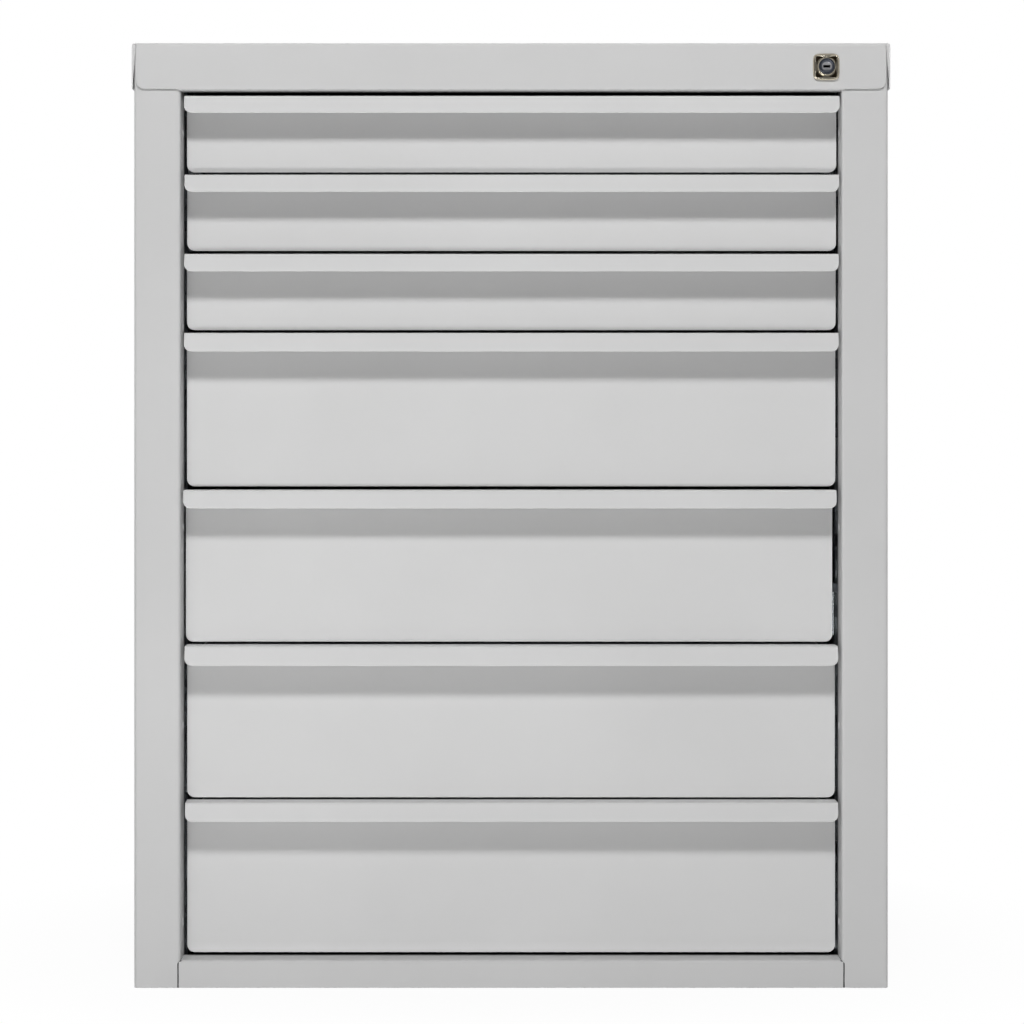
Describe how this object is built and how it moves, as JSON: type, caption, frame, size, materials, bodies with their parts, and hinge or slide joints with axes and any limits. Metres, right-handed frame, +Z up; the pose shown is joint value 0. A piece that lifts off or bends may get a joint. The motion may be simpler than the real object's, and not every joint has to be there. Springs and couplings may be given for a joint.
{
  "type": "drawer cabinet",
  "caption": "Free-standing sheet-steel drawer cabinet with low and high full-width drawers on ball-bearing slides, folded grip lips and a cam lock that lifts a lock bar.",
  "frame": {"origin": "on the floor, at the centre of the cabinet's footprint", "axes": "+X to the right of someone facing the drawers, -Y the way the drawers open, +Z up"},
  "size_m": [0.604, 0.507, 0.752],
  "materials": {
    "paint": "satin powder coat",
    "galvanised": "galvanised sheet",
    "zinc": "bright zinc plate",
    "nickel": "polished nickel plate",
    "steel": "turned steel"
  },
  "bodies": {
    "root": {"left_side_panel": "paint", "right_side_panel": "paint", "back_panel": "paint", "base_panel": "paint", "bottom_rail": "paint", "top_cap": "paint", "cross_rails": "paint", "slide_uprights": "galvanised", "cabinet_members": "zinc", "slide_screws": "steel", "lock_housing": "nickel", "lock_nut": "nickel", "bar_guides": "galvanised"},
    "lock_plug": {"lock_plug": "steel", "lock_cam": "zinc", "cam_screw": "steel"},
    "lock_bar": {"lock_bar": "zinc", "lock_hooks": "zinc"},
    "drawer_1": {"drawer_1_front": "paint", "drawer_1_tray": "paint", "drawer_1_drawer_members": "zinc"},
    "drawer_1_middle": {"drawer_1_middle_members": "zinc"},
    "drawer_1_outer_cage": {"drawer_1_outer_cages": "steel"},
    "drawer_1_inner_cage": {"drawer_1_inner_cages": "steel"},
    "drawer_2": {"drawer_2_front": "paint", "drawer_2_tray": "paint", "drawer_2_drawer_members": "zinc"},
    "drawer_2_middle": {"drawer_2_middle_members": "zinc"},
    "drawer_2_outer_cage": {"drawer_2_outer_cages": "steel"},
    "drawer_2_inner_cage": {"drawer_2_inner_cages": "steel"},
    "drawer_3": {"drawer_3_front": "paint", "drawer_3_tray": "paint", "drawer_3_drawer_members": "zinc"},
    "drawer_3_middle": {"drawer_3_middle_members": "zinc"},
    "drawer_3_outer_cage": {"drawer_3_outer_cages": "steel"},
    "drawer_3_inner_cage": {"drawer_3_inner_cages": "steel"},
    "drawer_4": {"drawer_4_front": "paint", "drawer_4_tray": "paint", "drawer_4_drawer_members": "zinc"},
    "drawer_4_middle": {"drawer_4_middle_members": "zinc"},
    "drawer_4_outer_cage": {"drawer_4_outer_cages": "steel"},
    "drawer_4_inner_cage": {"drawer_4_inner_cages": "steel"},
    "drawer_5": {"drawer_5_front": "paint", "drawer_5_tray": "paint", "drawer_5_drawer_members": "zinc"},
    "drawer_5_middle": {"drawer_5_middle_members": "zinc"},
    "drawer_5_outer_cage": {"drawer_5_outer_cages": "steel"},
    "drawer_5_inner_cage": {"drawer_5_inner_cages": "steel"},
    "drawer_6": {"drawer_6_front": "paint", "drawer_6_tray": "paint", "drawer_6_drawer_members": "zinc"},
    "drawer_6_middle": {"drawer_6_middle_members": "zinc"},
    "drawer_6_outer_cage": {"drawer_6_outer_cages": "steel"},
    "drawer_6_inner_cage": {"drawer_6_inner_cages": "steel"},
    "drawer_7": {"drawer_7_front": "paint", "drawer_7_tray": "paint", "drawer_7_drawer_members": "zinc"},
    "drawer_7_middle": {"drawer_7_middle_members": "zinc"},
    "drawer_7_outer_cage": {"drawer_7_outer_cages": "steel"},
    "drawer_7_inner_cage": {"drawer_7_inner_cages": "steel"}
  },
  "joints": [
    {"name": "lock_turn", "type": "hinge", "parent": "root", "child": "lock_plug", "pos_m": [0.251, -0.25055, 0.733], "axis": [0, -1, 0], "range_deg": [0, 90]},
    {"name": "lock_bar_lift", "type": "slide", "parent": "root", "child": "lock_bar", "axis": [0, 0, 1], "range_m": [0, 0.01413]},
    {"name": "drawer_1_slide", "type": "slide", "parent": "root", "child": "drawer_1", "axis": [0, -1, 0], "range_m": [0, 0.4]},
    {"name": "drawer_1_middle_slide", "type": "slide", "parent": "root", "child": "drawer_1_middle", "axis": [0, -1, 0], "range_m": [0, 0.2]},
    {"name": "drawer_1_outer_cage_slide", "type": "slide", "parent": "root", "child": "drawer_1_outer_cage", "axis": [0, -1, 0], "range_m": [0, 0.1]},
    {"name": "drawer_1_inner_cage_slide", "type": "slide", "parent": "root", "child": "drawer_1_inner_cage", "axis": [0, -1, 0], "range_m": [0, 0.3]},
    {"name": "drawer_2_slide", "type": "slide", "parent": "root", "child": "drawer_2", "axis": [0, -1, 0], "range_m": [0, 0.4]},
    {"name": "drawer_2_middle_slide", "type": "slide", "parent": "root", "child": "drawer_2_middle", "axis": [0, -1, 0], "range_m": [0, 0.2]},
    {"name": "drawer_2_outer_cage_slide", "type": "slide", "parent": "root", "child": "drawer_2_outer_cage", "axis": [0, -1, 0], "range_m": [0, 0.1]},
    {"name": "drawer_2_inner_cage_slide", "type": "slide", "parent": "root", "child": "drawer_2_inner_cage", "axis": [0, -1, 0], "range_m": [0, 0.3]},
    {"name": "drawer_3_slide", "type": "slide", "parent": "root", "child": "drawer_3", "axis": [0, -1, 0], "range_m": [0, 0.4]},
    {"name": "drawer_3_middle_slide", "type": "slide", "parent": "root", "child": "drawer_3_middle", "axis": [0, -1, 0], "range_m": [0, 0.2]},
    {"name": "drawer_3_outer_cage_slide", "type": "slide", "parent": "root", "child": "drawer_3_outer_cage", "axis": [0, -1, 0], "range_m": [0, 0.1]},
    {"name": "drawer_3_inner_cage_slide", "type": "slide", "parent": "root", "child": "drawer_3_inner_cage", "axis": [0, -1, 0], "range_m": [0, 0.3]},
    {"name": "drawer_4_slide", "type": "slide", "parent": "root", "child": "drawer_4", "axis": [0, -1, 0], "range_m": [0, 0.4]},
    {"name": "drawer_4_middle_slide", "type": "slide", "parent": "root", "child": "drawer_4_middle", "axis": [0, -1, 0], "range_m": [0, 0.2]},
    {"name": "drawer_4_outer_cage_slide", "type": "slide", "parent": "root", "child": "drawer_4_outer_cage", "axis": [0, -1, 0], "range_m": [0, 0.1]},
    {"name": "drawer_4_inner_cage_slide", "type": "slide", "parent": "root", "child": "drawer_4_inner_cage", "axis": [0, -1, 0], "range_m": [0, 0.3]},
    {"name": "drawer_5_slide", "type": "slide", "parent": "root", "child": "drawer_5", "axis": [0, -1, 0], "range_m": [0, 0.4]},
    {"name": "drawer_5_middle_slide", "type": "slide", "parent": "root", "child": "drawer_5_middle", "axis": [0, -1, 0], "range_m": [0, 0.2]},
    {"name": "drawer_5_outer_cage_slide", "type": "slide", "parent": "root", "child": "drawer_5_outer_cage", "axis": [0, -1, 0], "range_m": [0, 0.1]},
    {"name": "drawer_5_inner_cage_slide", "type": "slide", "parent": "root", "child": "drawer_5_inner_cage", "axis": [0, -1, 0], "range_m": [0, 0.3]},
    {"name": "drawer_6_slide", "type": "slide", "parent": "root", "child": "drawer_6", "axis": [0, -1, 0], "range_m": [0, 0.4]},
    {"name": "drawer_6_middle_slide", "type": "slide", "parent": "root", "child": "drawer_6_middle", "axis": [0, -1, 0], "range_m": [0, 0.2]},
    {"name": "drawer_6_outer_cage_slide", "type": "slide", "parent": "root", "child": "drawer_6_outer_cage", "axis": [0, -1, 0], "range_m": [0, 0.1]},
    {"name": "drawer_6_inner_cage_slide", "type": "slide", "parent": "root", "child": "drawer_6_inner_cage", "axis": [0, -1, 0], "range_m": [0, 0.3]},
    {"name": "drawer_7_slide", "type": "slide", "parent": "root", "child": "drawer_7", "axis": [0, -1, 0], "range_m": [0, 0.4]},
    {"name": "drawer_7_middle_slide", "type": "slide", "parent": "root", "child": "drawer_7_middle", "axis": [0, -1, 0], "range_m": [0, 0.2]},
    {"name": "drawer_7_outer_cage_slide", "type": "slide", "parent": "root", "child": "drawer_7_outer_cage", "axis": [0, -1, 0], "range_m": [0, 0.1]},
    {"name": "drawer_7_inner_cage_slide", "type": "slide", "parent": "root", "child": "drawer_7_inner_cage", "axis": [0, -1, 0], "range_m": [0, 0.3]}
  ],
  "couplings": [
    {"joint": "lock_turn", "follows": "lock_bar_lift", "rad_per_m": 111.1},
    {"joint": "drawer_1_middle_slide", "follows": "drawer_1_slide", "ratio": 0.5},
    {"joint": "drawer_1_outer_cage_slide", "follows": "drawer_1_slide", "ratio": 0.25},
    {"joint": "drawer_1_inner_cage_slide", "follows": "drawer_1_slide", "ratio": 0.75},
    {"joint": "drawer_2_middle_slide", "follows": "drawer_2_slide", "ratio": 0.5},
    {"joint": "drawer_2_outer_cage_slide", "follows": "drawer_2_slide", "ratio": 0.25},
    {"joint": "drawer_2_inner_cage_slide", "follows": "drawer_2_slide", "ratio": 0.75},
    {"joint": "drawer_3_middle_slide", "follows": "drawer_3_slide", "ratio": 0.5},
    {"joint": "drawer_3_outer_cage_slide", "follows": "drawer_3_slide", "ratio": 0.25},
    {"joint": "drawer_3_inner_cage_slide", "follows": "drawer_3_slide", "ratio": 0.75},
    {"joint": "drawer_4_middle_slide", "follows": "drawer_4_slide", "ratio": 0.5},
    {"joint": "drawer_4_outer_cage_slide", "follows": "drawer_4_slide", "ratio": 0.25},
    {"joint": "drawer_4_inner_cage_slide", "follows": "drawer_4_slide", "ratio": 0.75},
    {"joint": "drawer_5_middle_slide", "follows": "drawer_5_slide", "ratio": 0.5},
    {"joint": "drawer_5_outer_cage_slide", "follows": "drawer_5_slide", "ratio": 0.25},
    {"joint": "drawer_5_inner_cage_slide", "follows": "drawer_5_slide", "ratio": 0.75},
    {"joint": "drawer_6_middle_slide", "follows": "drawer_6_slide", "ratio": 0.5},
    {"joint": "drawer_6_outer_cage_slide", "follows": "drawer_6_slide", "ratio": 0.25},
    {"joint": "drawer_6_inner_cage_slide", "follows": "drawer_6_slide", "ratio": 0.75},
    {"joint": "drawer_7_middle_slide", "follows": "drawer_7_slide", "ratio": 0.5},
    {"joint": "drawer_7_outer_cage_slide", "follows": "drawer_7_slide", "ratio": 0.25},
    {"joint": "drawer_7_inner_cage_slide", "follows": "drawer_7_slide", "ratio": 0.75}
  ]
}
